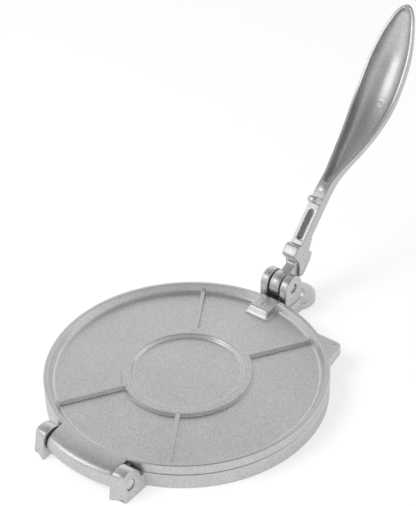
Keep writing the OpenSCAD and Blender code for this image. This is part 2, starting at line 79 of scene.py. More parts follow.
def roundedOutline(corners, radii, steps=6):
    # Each corner of a closed outline becomes an arc that touches both its sides: its
    # centre lies on the corner's bisector, radius / sin(half angle) away.
    corner = np.asarray(corners, dtype=float)
    radius = np.broadcast_to(np.asarray(radii, dtype=float), len(corner))[:, None]
    back = np.roll(corner, 1, axis=0) - corner
    ahead = np.roll(corner, -1, axis=0) - corner
    back /= np.linalg.norm(back, axis=1, keepdims=True)
    ahead /= np.linalg.norm(ahead, axis=1, keepdims=True)
    half = np.arccos(np.clip((back * ahead).sum(axis=1, keepdims=True), -1, 1)) / 2
    reach = radius / np.tan(half)
    bisector = (back + ahead) / np.linalg.norm(back + ahead, axis=1, keepdims=True)
    centre = corner + bisector * radius / np.sin(half)
    start = corner + back * reach - centre
    end = corner + ahead * reach - centre
    share = np.linspace(0, 1, steps)[None, :, None]
    sweep = math.pi - 2 * half[:, :, None]
    arc = np.sin((1 - share) * sweep) * start[:, None] + np.sin(share * sweep) * end[:, None]
    return (centre[:, None] + arc / np.sin(sweep)).reshape(-1, 2)


def outlineNormals(outline):
    # Outward normals of a closed outline, from the chord between both neighbours
    chord = np.roll(outline, -1, axis=0) - np.roll(outline, 1, axis=0)
    normal = np.stack([chord[:, 1], -chord[:, 0]], axis=1)
    normal /= np.linalg.norm(normal, axis=1, keepdims=True)
    area = (outline[:, 0] * np.roll(outline[:, 1], -1) - np.roll(outline[:, 0], -1) * outline[:, 1]).sum()
    return normal if area > 0 else -normal


def roundedSlab(name, outline, low, high, edge, place, taper=0.0, steps=5):
    # A slab between low and high whose outline runs round both faces with a quarter
    # arc: inset = edge (1 - sin a), height = edge (1 - cos a). Taper draws the high
    # face in. place turns (first, second, height) into x, y, z.
    turn = np.linspace(0, math.pi / 2, steps)
    inset = np.concatenate([edge * (1 - np.sin(turn)), edge * (1 - np.cos(turn))])
    height = np.concatenate([low + edge * (1 - np.cos(turn)), high - edge * (1 - np.sin(turn))])
    inset = inset + taper * (height - low) / (high - low)
    ring = outline[None] - outlineNormals(outline)[None] * inset[:, None, None]
    tall = np.broadcast_to(height[:, None], ring.shape[:2])
    piece = skinMesh(name, place(ring[..., 0], ring[..., 1], tall), capFirst=True, capLast=True)
    sharpenEdges(piece, 50)
    return piece


def turnedRing(name, profile, place, steps=96):
    # A closed profile (radius, along) turned a full circle about the along axis
    angle = np.linspace(0, 2 * math.pi, steps, endpoint=False)[None, :]
    radius, along = profile[:, :1], profile[:, 1:]
    points = place(radius * np.cos(angle), radius * np.sin(angle), along + 0 * angle)
    piece = skinMesh(name, points, wrapRows=True)
    sharpenEdges(piece, 50)
    return piece


def alongY(x, z):
    # Places a turned piece with its axis along Y through (x, z)
    return lambda a, b, h: np.stack([x + a, h, z + b], axis=-1)


def finished(piece, body, slotName, material, *nodes):
    piece.data.materials.clear()
    piece.data.materials.append(material)
    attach(piece, body)
    if nodes:
        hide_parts(*nodes)
    return piece


# Finishes

def newMaterial(name):
    material = bpy.data.materials.new(name)
    material.use_nodes = True
    return material, material.node_tree.nodes, material.node_tree.links


def noiseNode(nodes, links, coordinates, scale, detail, roughness=0.5):
    noise = nodes.new("ShaderNodeTexNoise")
    noise.inputs["Scale"].default_value = scale
    noise.inputs["Detail"].default_value = detail
    noise.inputs["Roughness"].default_value = roughness
    links.new(coordinates, noise.inputs["Vector"])
    return noise.outputs["Fac"]


def rangeNode(nodes, links, value, low, high, fromLow=0.3, fromHigh=0.7):
    spread = nodes.new("ShaderNodeMapRange")
    spread.inputs["From Min"].default_value = fromLow
    spread.inputs["From Max"].default_value = fromHigh
    spread.inputs["To Min"].default_value = low
    spread.inputs["To Max"].default_value = high
    links.new(value, spread.inputs["Value"])
    return spread.outputs["Result"]


def mathNode(nodes, links, operation, first, second):
    # first may be a socket or a number; so may second
    step = nodes.new("ShaderNodeMath")
    step.operation = operation
    for socket, value in zip(step.inputs, (first, second)):
        if isinstance(value, (int, float)):
            socket.default_value = value
        else:
            links.new(value, socket)
    return step.outputs[0]


def bumpNode(nodes, links, height, strength, depth, under=None):
    bump = nodes.new("ShaderNodeBump")
    bump.inputs["Strength"].default_value = strength
    bump.inputs["Distance"].default_value = depth
    links.new(height, bump.inputs["Height"])
    if under is not None:
        links.new(under, bump.inputs["Normal"])
    return bump.outputs["Normal"]


def colourRamp(nodes, links, value, dark, light, rampFrom, rampTo):
    ramp = nodes.new("ShaderNodeValToRGB")
    for element, at, colour in zip(ramp.color_ramp.elements, (rampFrom, rampTo), (dark, light)):
        element.position = at
        element.color = (*colour, 1)
    links.new(value, ramp.inputs["Fac"])
    return ramp.outputs["Color"]


castLook = {
    "dark": (0.5, 0.502, 0.507), "light": (0.77, 0.772, 0.777), "rampFrom": 0.34, "rampTo": 0.66,
    "mottleScale": 40.0, "grainScale": 1100.0, "grainShare": 0.9,
    "roughLow": 0.3, "roughHigh": 0.4, "grainStrength": 0.25, "grainDepth": 0.00007,
    "mottleStrength": 0.15, "mottleDepth": 0.0002,
}


def castAluminium(name, look):
    # Speckle = grainShare x fine noise + the rest x slow mottling. Colour runs from dark to
    # light with the speckle, roughness with the grain; bump = grain over a faint mottling.
    material, nodes, links = newMaterial(name)
    shader = nodes["Principled BSDF"]
    shader.inputs["Metallic"].default_value = 1.0
    place = nodes.new("ShaderNodeTexCoord").outputs["Object"]
    mottle = noiseNode(nodes, links, place, look["mottleScale"], 3.0)
    grain = noiseNode(nodes, links, place, look["grainScale"], 3.0, 0.65)
    speckle = mathNode(nodes, links, "ADD", mathNode(nodes, links, "MULTIPLY", grain, look["grainShare"]),
                       mathNode(nodes, links, "MULTIPLY", mottle, 1 - look["grainShare"]))
    colour = colourRamp(nodes, links, speckle, look["dark"], look["light"],
                        look["rampFrom"], look["rampTo"])
    links.new(colour, shader.inputs["Base Color"])
    rough = rangeNode(nodes, links, grain, look["roughLow"], look["roughHigh"])
    links.new(rough, shader.inputs["Roughness"])
    peel = bumpNode(nodes, links, mottle, look["mottleStrength"], look["mottleDepth"])
    fine = bumpNode(nodes, links, grain, look["grainStrength"], look["grainDepth"], peel)
    links.new(fine, shader.inputs["Normal"])
    return material


steelLook = {"dark": (0.68, 0.68, 0.69), "light": (0.86, 0.86, 0.87), "scratchScale": 1500.0}


def turnedSteel(name, look):
    # Drawn bar: scratches run round the pin, as noise stretched across Y
    material, nodes, links = newMaterial(name)
    shader = nodes["Principled BSDF"]
    shader.inputs["Metallic"].default_value = 1.0
    place = nodes.new("ShaderNodeTexCoord").outputs["Object"]
    stretch = nodes.new("ShaderNodeMapping")
    stretch.inputs["Scale"].default_value = (0.12, 1.0, 0.12)
    links.new(place, stretch.inputs["Vector"])
    scratch = noiseNode(nodes, links, stretch.outputs["Vector"], look["scratchScale"], 3.0)
    colour = colourRamp(nodes, links, scratch, look["dark"], look["light"], 0.35, 0.65)
    links.new(colour, shader.inputs["Base Color"])
    links.new(rangeNode(nodes, links, scratch, 0.22, 0.38), shader.inputs["Roughness"])
    return material


castMetal = castAluminium("satinCastAluminium", castLook)
pinSteel = turnedSteel("turnedPinSteel", steelLook)
print("finishes ready")


# Upper plate: dish, rim, ring, ribs, block and tab as one casting

plateShape = {
    "radius": 101.5, "under": 12.2, "floor": 14.2, "top": 20.0, "edge": 0.9,
    "rimWidth": 3.2, "rimDraft": 3.6, "rimBlend": 2.2,
    "ringInner": 40.5, "ringOuter": 46.7, "ringHeight": 2.8, "ringDraftIn": 2.1, "ringDraftOut": 0.8,
    "ribHalf": 1.5, "ribDraft": 0.7, "ribHeight": 2.7, "ribAngles": (31.5, 148.0, -148.0, -31.5),
    "blockFront": 85.3, "blockDraft": 4.2, "blockHalf": 7.9, "blockSideDraft": 1.8,
    "blockBlend": 1.1, "blockFoot": 2.2,
    "castBlend": 0.55, "axisX": 106.5, "axisZ": 11.0, "swing": 11.0, "swingFrom": 28.7, "swingTo": 42.8,
    "tabAngle": -40.6, "tabReach": 107.8, "tabRadius": 4.8, "tabSpread": 9.1,
    "markRadius": 1.3, "markDepth": 0.45, "blockMark": (91.0, 0.0),
}


def smoothLarger(a, b, blend):
    # The larger of two heights, rounded where they meet: max + (blend - |a - b|)^2 / (4 blend)
    near = np.clip(blend - np.abs(a - b), 0, None)
    return np.maximum(a, b) + near * near / (4 * blend)


def smoothSmaller(a, b, blend):
    return -smoothLarger(-a, -b, blend)


def dishHeight(x, y, shape):
    # Height of the plate's upper face over (x, y): each feature is the lower of its
    # sloping sides and its top; the face is the higher of all features, with fillets.
    r = np.hypot(x, y)
    floor, top, blend = shape["floor"], shape["top"], shape["castBlend"]
    inner = shape["radius"] - shape["rimWidth"]
    rim = top + (r - inner) * (top - floor) / shape["rimDraft"]
    face = smoothLarger(np.full_like(r, floor), rim, shape["rimBlend"])
    ringTop = floor + shape["ringHeight"]
    innerSide = ringTop + (r - shape["ringInner"]) * shape["ringHeight"] / shape["ringDraftIn"]
    outerSide = ringTop + (shape["ringOuter"] - r) * shape["ringHeight"] / shape["ringDraftOut"]
    ring = smoothSmaller(smoothSmaller(innerSide, outerSide, blend), np.full_like(r, ringTop), blend)
    face = smoothLarger(face, ring, blend)
    for degrees in shape["ribAngles"]:
        a = math.radians(degrees)
        along = x * math.cos(a) + y * math.sin(a)
        across = np.abs(y * math.cos(a) - x * math.sin(a))
        ribTop = floor + shape["ribHeight"]
        side = ribTop + (shape["ribHalf"] - across) * shape["ribHeight"] / shape["ribDraft"]
        end = ribTop + (along - shape["ringOuter"] + 3.0) * 4.0
        rib = smoothSmaller(smoothSmaller(side, end, blend), np.full_like(r, ribTop), 0.8 * blend)
        face = smoothLarger(face, rib, blend)
    rise = top - floor
    front = top + (x - shape["blockFront"]) * rise / shape["blockDraft"]
    sides = top + (shape["blockHalf"] - np.abs(y)) * rise / shape["blockSideDraft"]
    block = smoothSmaller(smoothSmaller(front, sides, 2.4), np.full_like(r, top), shape["blockBlend"])
    face = smoothLarger(face, block, shape["blockFoot"])
    return smoothSmaller(face, np.full_like(r, top), blend)


def tabEdge(angle, shape):
    # Distance from the plate's centre to its outline: the circle, but for the tab, whose
    # sides are the tangents from the rim to its round end.
    a = math.radians(shape["tabAngle"])
    spread = math.radians(shape["tabSpread"])
    reach, small = shape["tabReach"], shape["tabRadius"]
    turned = angle - a
    root = shape["radius"] * np.array([math.cos(spread), math.sin(spread)])
    gap = root - np.array([reach, 0.0])
    away = math.atan2(gap[1], gap[0]) - math.acos(small / np.hypot(*gap))
    touch = np.array([reach + small * math.cos(away), small * math.sin(away)])
    side = touch - root
    aside = np.abs(turned)
    line = (root[0] * side[1] - root[1] * side[0]) / (np.cos(aside) * side[1] - np.sin(aside) * side[0])
    roundTip = reach * np.cos(aside) + np.sqrt(np.clip(small**2 - (reach * np.sin(aside)) ** 2, 0, None))
    touchAngle = math.atan2(touch[1], touch[0])
    edge = np.where(aside < touchAngle, roundTip, line)
    return np.where(aside < spread, np.maximum(edge, shape["radius"]), shape["radius"])


def plateAngles(shape):
    # Steps round the plate, closer together at the ribs, the block and the tab
    groups = [np.arange(-180, 180, 1.5)]
    groups += [degrees + np.linspace(-3.4, 3.4, 52) for degrees in shape["ribAngles"]]
    groups += [np.linspace(-7.2, 7.2, 62), shape["tabAngle"] + np.linspace(-10.4, 10.4, 78)]
    groups += [side * np.linspace(154.6, 164.2, 40) for side in (1, -1)]
    angle = np.unique(np.round(np.concatenate(groups), 3))
    keep = np.concatenate([[True], np.diff(angle) > 0.05])
    return np.radians(angle[keep])


def makeUpperPlate(shape):
    angle = plateAngles(shape)[None, :]
    radius = np.concatenate([
        [0.4], np.linspace(4, 36, 8), np.linspace(37.2, 41.4, 17), np.linspace(42.2, 45.4, 4),
        np.linspace(45.9, 48.4, 16), np.linspace(50, 79, 9), np.linspace(80, 86.2, 20),
        np.linspace(86.9, 92.8, 13), np.linspace(93.2, 97.6, 17), np.linspace(97.75, 98.9, 12)])[:, None]
    shared = np.linspace(0, 1, 26)[1:, None]  # rows from the rim's inner edge to its outline
    outline = tabEdge(angle, shape)
    lip = outline - shape["edge"]
    radius = np.concatenate([radius + 0 * angle, 98.9 + (lip - 98.9) * shared])
    x, y = radius * np.cos(angle), radius * np.sin(angle)
    z = dishHeight(x, y, shape)
    tabAt = shape["tabReach"] * np.array([math.cos(math.radians(shape["tabAngle"])),
                                          math.sin(math.radians(shape["tabAngle"]))])
    for at in (shape["blockMark"], tabAt):
        away = np.hypot(x - at[0], y - at[1]) / shape["markRadius"]
        z = z - shape["markDepth"] * np.clip(1 - away**4, 0, None)
    turn = np.linspace(0, math.pi / 2, 7)[1:, None]
    edge, top, under = shape["edge"], shape["top"], shape["under"]
    wallR = np.concatenate([lip + edge * np.sin(turn), lip + edge * np.cos(turn - turn[0])])
    wallZ = np.concatenate([top - edge * (1 - np.cos(turn)), under + edge * (1 - np.sin(turn - turn[0]))])
    underR = np.concatenate([lip, 0 * angle + 60, 0 * angle + 0.4])
    x = np.concatenate([x, wallR * np.cos(angle), underR * np.cos(angle)])
    y = np.concatenate([y, wallR * np.sin(angle), underR * np.sin(angle)])
    z = np.concatenate([z, wallZ + 0 * angle, np.full((3, angle.size), under)])
    # the rim steps back where it swings past the ears: x stays outside a circle about the hinge
    back = np.sqrt(shape["swing"] ** 2 - (z - shape["axisZ"]) ** 2) - shape["axisX"]
    beside = (np.abs(y) > shape["swingFrom"]) & (np.abs(y) < shape["swingTo"])
    x = np.where(beside & (x < back), back, x)
    plate = skinMesh("upperPlateCasting", np.stack([x, y, z], axis=-1), capFirst=True, capLast=True)
    sharpenEdges(plate, 40)
    return finished(plate, "upper_plate", "cast_aluminium", castMetal, "upper_plate")


makeUpperPlate(plateShape)
print("upper plate made")


# Knuckle: the slab that rolls over the hinge rod

knuckleShape = {
    "axisX": 106.5, "axisZ": 11.0, "outer": 10.5, "wall": 3.0, "skirt": 6.5, "half": 28.7,
    "flush": 20.02, "from": 99.2, "edge": 0.8, "rollFrom": 28.0,
    "bossRadius": 7.2, "bossLength": 5.2, "bore": 4.06,
}


def makeKnuckle(shape):
    # The section is a slab that follows an arc about the rod; it is carried along Y on
    # the plate's own curve, x = -sqrt(R^2 - y^2), and rounded in at both ends.
    axisX, axisZ, outer, wall = shape["axisX"], shape["axisZ"], shape["outer"], shape["wall"]
    inner = outer - wall
    high = math.radians(shape["rollFrom"])
    low = math.asin((shape["skirt"] - axisZ) / outer)
    arc = np.linspace(high, low, 30)[:, None]
    outside = np.hstack([axisX + outer * np.cos(arc), axisZ + outer * np.sin(arc)])
    lowIn = math.asin((shape["skirt"] - axisZ) / inner)
    highIn = math.asin((shape["flush"] - wall - axisZ) / inner)
    arc = np.linspace(lowIn, highIn, 24)[:, None]
    inside = np.hstack([axisX + inner * np.cos(arc), axisZ + inner * np.sin(arc)])
    slab = np.array([[shape["from"], shape["flush"] - wall], [shape["from"], shape["flush"]]])
    # the top bends over in one sweep: two parts start, share of the corner, end
    start = np.array([plateShape["radius"] - 1.0, shape["flush"]])
    corner = np.array([outside[0, 0] - (shape["flush"] - outside[0, 1]) * math.tan(high), shape["flush"]])
    t = np.linspace(0, 1, 26)[:-1, None]
    top = (1 - t) ** 2 * start + 2 * t * (1 - t) * corner + t * t * outside[0]
    section = np.concatenate([top, outside, inside, slab])
    turn = np.linspace(0, math.pi / 2, 5)
    half, edge = shape["half"], shape["edge"]
    inset = np.concatenate([edge * (1 - np.sin(turn)), np.zeros(40), edge * (1 - np.cos(turn))])
    y = np.concatenate([-half + edge * (1 - np.cos(turn)), np.linspace(-half + edge, half - edge, 42)[1:-1],
                        half - edge * (1 - np.sin(turn))])
    ring = section[None] - outlineNormals(section)[None] * inset[:, None, None]
    along = np.broadcast_to(y[:, None], ring.shape[:2])
    points = np.stack([-np.sqrt(ring[..., 0] ** 2 - along**2), along, ring[..., 1]], axis=-1)
    knuckle = skinMesh("hingeKnuckle", points, capFirst=True, capLast=True)
    sharpenEdges(knuckle, 40)
    finished(knuckle, "upper_plate", "cast_aluminium", castMetal)
    boss = np.array([[shape["bore"], 0], [shape["bossRadius"] - 0.5, 0], [shape["bossRadius"], 0.5],
                     [shape["bossRadius"], shape["bossLength"]], [shape["bore"], shape["bossLength"]]])
    for side, name in ((1, "hingeBossLeft"), (-1, "hingeBossRight")):
        profile = boss * [1, -side] + [0, side * half]
        ringPiece = turnedRing(name, profile, alongY(-axisX, axisZ))
        finished(ringPiece, "upper_plate", "cast_aluminium", castMetal)


makeKnuckle(knuckleShape)
print("knuckle made")


# Base: hollow disc with ribs underneath

discShape = {
    "radius": 101.5, "height": 12.0, "ceiling": 9.0, "wall": 3.0, "edge": 0.8, "fillet": 1.2,
    "footRadius": 12.0, "ringRadius": 55.0, "ribHalf": 1.25, "ribDeep": 7.5, "ribDraft": 0.6, "ribs": 8,
    "blend": 0.9, "axisX": 106.5, "axisZ": 11.0,
    "relief": 11.0, "reliefHalf": 29.8, "behind": 14.0, "behindHalf": 30.8,
}


def ribDepth(x, y, shape):
    # How far ring, ribs and middle foot hang below the ceiling: each is the lower of its
    # drafted sides and its full depth, and the surface is the deepest of them.
    r, deep, blend = np.hypot(x, y), shape["ribDeep"], shape["blend"]
    slope = deep / shape["ribDraft"]
    side = deep + (shape["ribHalf"] - np.abs(r - shape["ringRadius"])) * slope
    ring = smoothSmaller(side, np.full_like(r, deep), blend)
    depth = smoothLarger(np.zeros_like(r), ring, blend)
    for i in range(shape["ribs"]):
        a = (i + 0.5) * 2 * math.pi / shape["ribs"]
        outward = x * math.cos(a) + y * math.sin(a) > 0
        across = np.where(outward, np.abs(y * math.cos(a) - x * math.sin(a)), 99.0)
        side = deep + (shape["ribHalf"] - across) * slope
        rib = smoothSmaller(side, np.full_like(r, deep), blend)
        depth = smoothLarger(depth, rib, blend)
    foot = shape["ceiling"] + (shape["footRadius"] - r) * slope
    foot = smoothSmaller(foot, np.full_like(r, shape["ceiling"]), blend)
    return smoothLarger(depth, foot, blend)


def makeDisc(shape):
    step = 360 / shape["ribs"]
    groups = [np.arange(-180, 180, 1.5), np.linspace(161.4, 163.6, 24), -np.linspace(161.4, 163.6, 24)]
    for i in range(shape["ribs"]):
        middle = (i + 0.5) * step - 180
        groups += [middle + np.linspace(-1.4, 1.4, 15), middle + np.linspace(-5.5, 5.5, 19)]
    angle = np.unique(np.round(np.concatenate(groups), 3))
    angle = np.radians(angle[np.concatenate([[True], np.diff(angle) > 0.04])])[None, :]
    full, edge, wall, high = shape["radius"], shape["edge"], shape["wall"], shape["height"]
    ceiling, fillet = shape["ceiling"], shape["fillet"]
    q = np.linspace(0, math.pi / 2, 6)
    inner = full - wall
    wallZ = np.concatenate([[ceiling + 0.01, ceiling - 0.01], np.linspace(ceiling - 0.4, 1.0, 18)])
    outer = np.concatenate([
        [[0.4, high], [60, high]],
        np.stack([full - edge + edge * np.sin(q), high - edge * (1 - np.cos(q))], axis=1),
        np.stack([np.full_like(wallZ, full), wallZ], axis=1),
        np.stack([full - edge + edge * np.cos(q), edge * (1 - np.sin(q))], axis=1)])
    within = np.concatenate([
        [[inner + 0.3, 0], [inner, 0.3]],
        np.stack([np.full(8, inner), np.linspace(0.8, ceiling - fillet, 8)], axis=1),
        np.stack([inner - fillet * (1 - np.cos(q[1:])), ceiling - fillet * (1 - np.sin(q[1:]))], axis=1)])
    section = np.concatenate([outer, within])
    under = np.concatenate([np.linspace(96.5, 60, 12), np.linspace(58, 52, 40), np.linspace(49, 17, 9),
                            np.linspace(14.5, 11, 22), [6, 0.4]])
    radius = np.concatenate([section[:, 0], under])[:, None] + 0 * angle
    z = np.concatenate([section[:, 1], np.full(len(under), ceiling)])[:, None] + 0 * angle
    x, y = radius * np.cos(angle), radius * np.sin(angle)
    n = len(section)
    z[n:] -= ribDepth(x[n:], y[n:], shape)
    # the wall steps back from the knuckle's skirt below the ceiling, and is thickened behind it
    about = (z - shape["axisZ"]) ** 2
    front = np.sqrt(np.clip(shape["relief"] ** 2 - about, 0, None)) - shape["axisX"]
    behind = np.sqrt(shape["behind"] ** 2 - about) - shape["axisX"]
    outside = np.arange(len(x))[:, None] < len(outer)
    carved = outside & (z < ceiling) & (np.abs(y) < shape["reliefHalf"]) & (x < front)
    backed = ~outside & (np.abs(y) < shape["behindHalf"]) & (x < behind)
    x = np.where(carved, front, np.where(backed, behind, x))
    disc = skinMesh("baseDisc", np.stack([x, y, z], axis=-1), capFirst=True, capLast=True)
    sharpenEdges(disc, 40)
    return finished(disc, "base", "cast_aluminium", castMetal, "base")


makeDisc(discShape)
print("base disc made")


# Base: neck, tongue, clevis ears and hinge ears

def piercedSlab(name, reach, bore, low, high, edge, place, steps=6, angles=240, lip=0.35):
    # A slab with a round hole, chamfered by lip. reach gives its outline's distance from the
    # hole's axis by angle and height; round both faces it draws in by edge (1 - sin a) and
    # edge (1 - cos a).
    angle = np.linspace(0, 2 * math.pi, angles, endpoint=False)[None, :]
    turn = np.linspace(0, math.pi / 2, steps)
    inset = np.concatenate([edge * (1 - np.sin(turn)), edge * (1 - np.cos(turn))])[:, None]
    height = np.concatenate([low + edge * (1 - np.cos(turn)), high - edge * (1 - np.sin(turn))])[:, None]
    outer = reach(angle, height + 0 * angle) - inset
    radius = np.concatenate([np.array([[bore], [bore + lip]]) + 0 * angle, outer,
                             np.array([[bore + lip], [bore]]) + 0 * angle])
    height = np.concatenate([[[low + lip], [low]], height, [[high], [high - lip]]])
    points = place(radius * np.cos(angle), radius * np.sin(angle), height + 0 * angle)
    piece = skinMesh(name, points, wrapRows=True)
    sharpenEdges(piece, 40)
    return piece


neckShape = {
    "halfWidth": 13.4, "fillet": 10.0, "end": 123.9, "corner": 1.2, "root": 99.9, "edge": 0.8,
    "hollowLow": (103.5, -10.4), "hollowHigh": (120.9, 10.4), "lift": 0.05,
    "tongueAt": 132.5, "tongueRadius": 16.0, "tongueThick": 6.0, "tongueFrom": 121.4,
    "holeAt": 134.3, "holeRadius": 7.0,
    "pivotX": 113.5, "pivotZ": 26.0, "pinRadius": 4.0,
    "clevisRadius": 10.1, "clevisIn": 5.6, "clevisOut": 12.2, "clevisFoot": 11.0, "clevisEdge": 0.9,
}


def makeNeck(shape, disc):
    # The plan: an arc inside the disc's wall, a fillet on each side, and the square end. The
    # underside is hollow up to the disc's ceiling and stands a hair higher than the disc's.
    fillet, half, end = shape["fillet"], shape["halfWidth"], shape["end"]
    centreY = half + fillet
    centreX = math.sqrt((disc["radius"] + fillet) ** 2 - centreY**2)
    away = math.pi - math.atan2(centreY, centreX) - 0.02
    turn = np.linspace(away, math.pi / 2, 16)[:, None]
    lower = np.hstack([centreX + fillet * np.cos(turn), fillet * np.sin(turn) - centreY])
    c, q = shape["corner"], np.linspace(0, math.pi / 2, 6)[:, None]
    corner = np.hstack([end - c + c * np.sin(q), c - half - c * np.cos(q)])
    right = np.concatenate([lower, corner])
    spread = math.atan2(-lower[0, 1], lower[0, 0]) + 0.004
    arc = np.linspace(spread, -spread, 14)[:, None]
    root = shape["root"] * np.hstack([np.cos(arc), np.sin(arc)])
    outline = np.concatenate([root, right, right[::-1] * [1, -1]])
    normal = outlineNormals(outline)
    edge, low, high = shape["edge"], shape["lift"], disc["height"]
    turn = np.linspace(0, math.pi / 2, 5)
    rows = [(edge * (1 - math.sin(t)), low + edge * (1 - math.cos(t))) for t in turn]
    rows += [(edge * (1 - math.cos(t)), high - edge * (1 - math.sin(t))) for t in turn]
    hollow = np.clip(outline, shape["hollowLow"], shape["hollowHigh"])
    points = [np.column_stack([hollow, np.full(len(outline), z)]) for z in (disc["ceiling"], low)]
    points += [np.column_stack([outline - normal * inset, np.full(len(outline), z)]) for inset, z in rows]
    neck = skinMesh("baseNeck", np.array(points), capFirst=True, capLast=True)
    sharpenEdges(neck, 40)
    finished(neck, "base", "cast_aluminium", castMetal)


def makeTongue(shape):
    # Distance to a circle whose middle lies beside the hole, cut where the neck's end is
    beside = shape["holeAt"] - shape["tongueAt"]
    cut = shape["holeAt"] - shape["tongueFrom"]

    def reach(angle, height):
        circle = np.sqrt(shape["tongueRadius"] ** 2 - (beside * np.sin(angle)) ** 2)
        circle = circle - beside * np.cos(angle)
        plane = cut / np.clip(-np.cos(angle), 0.3, None)
        return np.minimum(circle, plane) + 0 * height

    place = lambda a, b, h: np.stack([shape["holeAt"] + a, b, h], axis=-1)
    tongue = piercedSlab("baseTongue", reach, shape["holeRadius"], 0.0, shape["tongueThick"],
                         shape["edge"], place)
    finished(tongue, "base", "cast_aluminium", castMetal, "tongue")


def makeClevis(shape):
    # Round above the pin; straight sides and a hidden foot below it
    wide, foot = shape["clevisRadius"], shape["pivotZ"] - shape["clevisFoot"]

    def reach(angle, height):
        sides = wide / np.clip(np.abs(np.cos(angle)), 0.3, None)
        under = np.minimum(sides, foot / np.clip(-np.sin(angle), 0.3, None))
        return np.where(np.sin(angle) >= 0, wide, under) + 0 * height

    for side, name in ((1, "clevisEarLeft"), (-1, "clevisEarRight")):
        place = lambda a, b, h: np.stack([shape["pivotX"] + a, side * h, shape["pivotZ"] + b], axis=-1)
        ear = piercedSlab(name, reach, shape["pinRadius"], shape["clevisIn"], shape["clevisOut"],
                          shape["clevisEdge"], place)
        finished(ear, "base", "cast_aluminium", castMetal)


hingeShape = {
    "axisX": 106.5, "axisZ": 11.0, "radius": 10.3, "front": 121.2, "lean": 1.4, "in": 29.8, "thick": 11.9,
    "draft": 2.6, "edge": 0.9, "blend": 1.4, "rodRadius": 4.0, "armInset": 0.05, "armRound": 1.5,
    "arm": ((-101.5, 0.05), (-90.5, 0.05), (-90.5, 10.95), (-101.5, 10.95)),
}


def makeHingeEars(shape):
    # Round above the rod and square below it, but never past the front, which follows the
    # plate's own curve and leans back: x = -sqrt((front - lean z / axisZ)^2 - y^2).
    axisX, axisZ, radius = shape["axisX"], shape["axisZ"], shape["radius"]
    near, thick, tall = shape["in"], shape["thick"], axisZ + radius
    drafted = lambda h, z: near + (h - near) * (1 - shape["draft"] * z / tall / thick)

    def reach(angle, height):
        cos, sin = np.cos(angle), np.sin(angle)
        back = radius / np.clip(cos, 0.3, None)
        under = axisZ / np.clip(-sin, 0.3, None)
        lower = np.where(cos > 0, smoothSmaller(back, under, shape["blend"]), under)
        outline = np.where(sin >= 0, radius, lower)
        ahead = np.full_like(height, radius)
        for _ in range(4):
            z = axisZ + ahead * sin
            curve = np.sqrt((shape["front"] - shape["lean"] * z / axisZ) ** 2 - drafted(height, z) ** 2)
            ahead = np.where(cos < -0.3, (curve - axisX) / np.clip(-cos, 0.3, None), 40.0)
        return smoothSmaller(outline + 0 * height, ahead, shape["blend"])

    arm = roundedOutline(shape["arm"], shape["armRound"])
    for side, name in ((1, "Left"), (-1, "Right")):
        place = lambda a, b, h: np.stack([a - axisX, side * drafted(h, axisZ + b), axisZ + b], axis=-1)
        ear = piercedSlab("hingeEar" + name, reach, shape["rodRadius"], near, near + thick,
                          shape["edge"], place)
        level = lambda a, b, h: np.stack([a, side * drafted(h, b), b], axis=-1)
        limb = roundedSlab("hingeArm" + name, arm, near + shape["armInset"],
                           near + thick - shape["armInset"], shape["edge"], level)
        for piece in (ear, limb):
            finished(piece, "base", "cast_aluminium", castMetal)


makeNeck(neckShape, discShape)
makeTongue(neckShape)
makeClevis(neckShape)
makeHingeEars(hingeShape)
print("base made")


# Handle: arm and hollow grip as one surface

handleShape = {
    "pivotX": 113.5, "pivotZ": 26.0, "lean": 46.0, "length": 234.83, "armLength": 84.0,
    "armWidth": 10.8, "armDepth": 11.0, "armFace": 3.8, "gripWidth": 36.0, "gripDepth": 16.0,
    "gripBow": 16.6, "gripWall": 2.4, "tipRadius": 11.5, "armFrom": 22.0, "edge": 0.7,
    "pocketFrom": 36.0, "pocketLength": 25.0, "pocketWidth": 4.7, "pocketDepth": 6.0,
    "marks": ((213.0, 0.0, 2.2), (160.0, 0.0, 2.9)), "markDepth": 0.1,
}
# Each law gives a share of the full width, bow, depth or nose by the share of the grip's length
widthLaw = ((0, 0), (0.22, 0.47), (0.344, 0.75), (0.457, 0.94), (0.583, 1), (0.722, 0.93),
            (0.834, 0.7), (1, 0.2))
bowLaw = ((-0.09, 0), (-0.013, 0.05), (0.086, 0.29), (0.185, 0.59), (0.305, 0.88), (0.437, 1),
          (0.556, 0.95), (0.722, 0.68), (1, 0.23))
depthLaw = ((0.13, 0.03), (0.265, 0.39), (0.397, 0.77), (0.543, 0.93), (0.735, 1), (1, 1))
noseLaw = ((0.7, 1), (0.868, 0.76), (0.96, 0.42), (1, 0.15))


def followLaw(law, share):
    # A smooth curve through the law's points: cubic between neighbours, whose slopes are
    # those of the chord from the point before to the point after.
    at, value = np.array(law, dtype=float).T
    slope = np.zeros(len(at))
    slope[1:-1] = (value[2:] - value[:-2]) / (at[2:] - at[:-2])
    held = np.clip(share, at[0], at[-1])
    i = np.clip(np.searchsorted(at, held, side="right") - 1, 0, len(at) - 2)
    width = at[i + 1] - at[i]
    s = (held - at[i]) / width
    return (value[i] * (2 * s**3 - 3 * s**2 + 1) + slope[i] * width * (s**3 - 2 * s**2 + s)
            + value[i + 1] * (3 * s**2 - 2 * s**3) + slope[i + 1] * width * (s**3 - s**2))


def roundStart(distance, run):
    # Quarter-round rise from 0 to 1 over a run
    q = np.clip(distance / run, 0, 1)
    return np.sqrt(1 - (1 - q) ** 2)


def handlePlace(shape):
    lean = math.radians(shape["lean"])
    return lambda u, y, s: np.stack([shape["pivotX"] + u * math.cos(lean) - s * math.sin(lean), y,
                                     shape["pivotZ"] + u * math.sin(lean) + s * math.cos(lean)], axis=-1)


